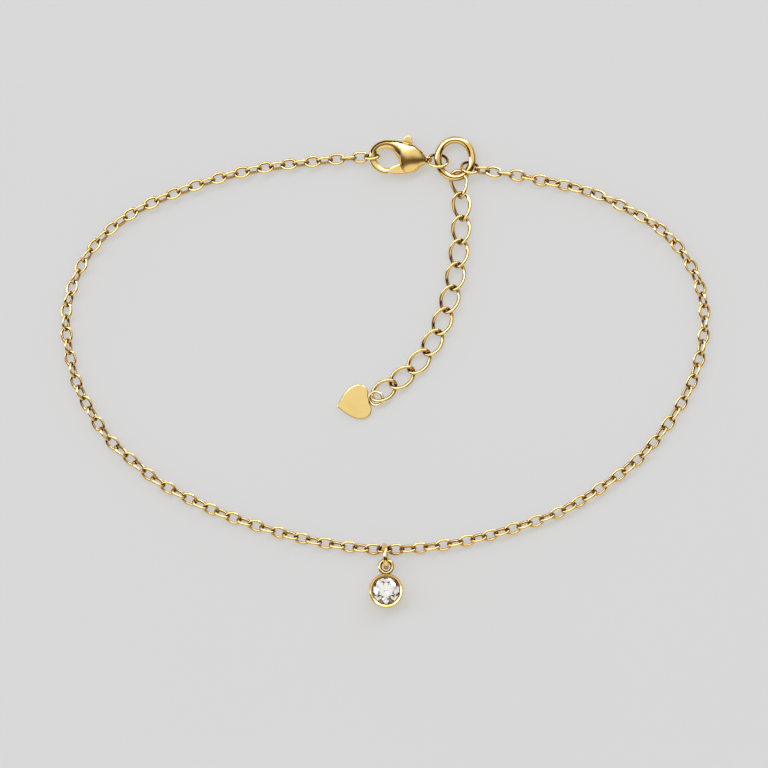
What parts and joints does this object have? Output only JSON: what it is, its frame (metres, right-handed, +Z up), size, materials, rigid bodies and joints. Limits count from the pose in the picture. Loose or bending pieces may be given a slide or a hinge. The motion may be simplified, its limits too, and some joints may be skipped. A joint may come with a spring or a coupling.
{
  "type": "chain anklet",
  "caption": "Gold cable-chain anklet lying fastened in a loop, with a sprung lobster clasp, an extender that ends in a flat heart tag, and a bezel-set round stone drop.",
  "frame": {"origin": "middle of the underside of the whole anklet, on the surface that it lies on", "axes": "+Z up, +X along the loop's long way from the clasp's hook side to the big ring's side, +Y from the stone drop to the clasp"},
  "size_m": [0.1, 0.0726, 0.0041],
  "materials": {
    "gold": "polished yellow gold plating",
    "stone": "clear, facet-cut"
  },
  "bodies": {
    "anklet": {"chain_left": "gold", "chain_right": "gold", "hook_link": "gold", "bail_link": "gold", "last_link": "gold", "clasp_body": "gold", "clasp_pin": "gold", "clasp_ring": "gold", "big_ring": "gold", "chain_ring": "gold", "extender_link_01": "gold", "extender_link_02": "gold", "extender_link_03": "gold", "extender_link_04": "gold", "extender_link_05": "gold", "extender_link_06": "gold", "extender_link_07": "gold", "extender_link_08": "gold", "extender_link_09": "gold", "extender_link_10": "gold", "extender_link_11": "gold", "heart_tag": "gold", "bail_ring": "gold", "stone_setting": "gold", "stone": "stone"},
    "gate": {"clasp_gate": "gold"}
  },
  "joints": [
    {"name": "gate_hinge", "type": "hinge", "parent": "anklet", "child": "gate", "pos_m": [0.00341, 0.03138, 0.00143], "axis": [0, 0, -1], "range_deg": [0, 20], "stiffness_Nm_per_rad": 0.016, "springref_deg": -14.32}
  ]
}
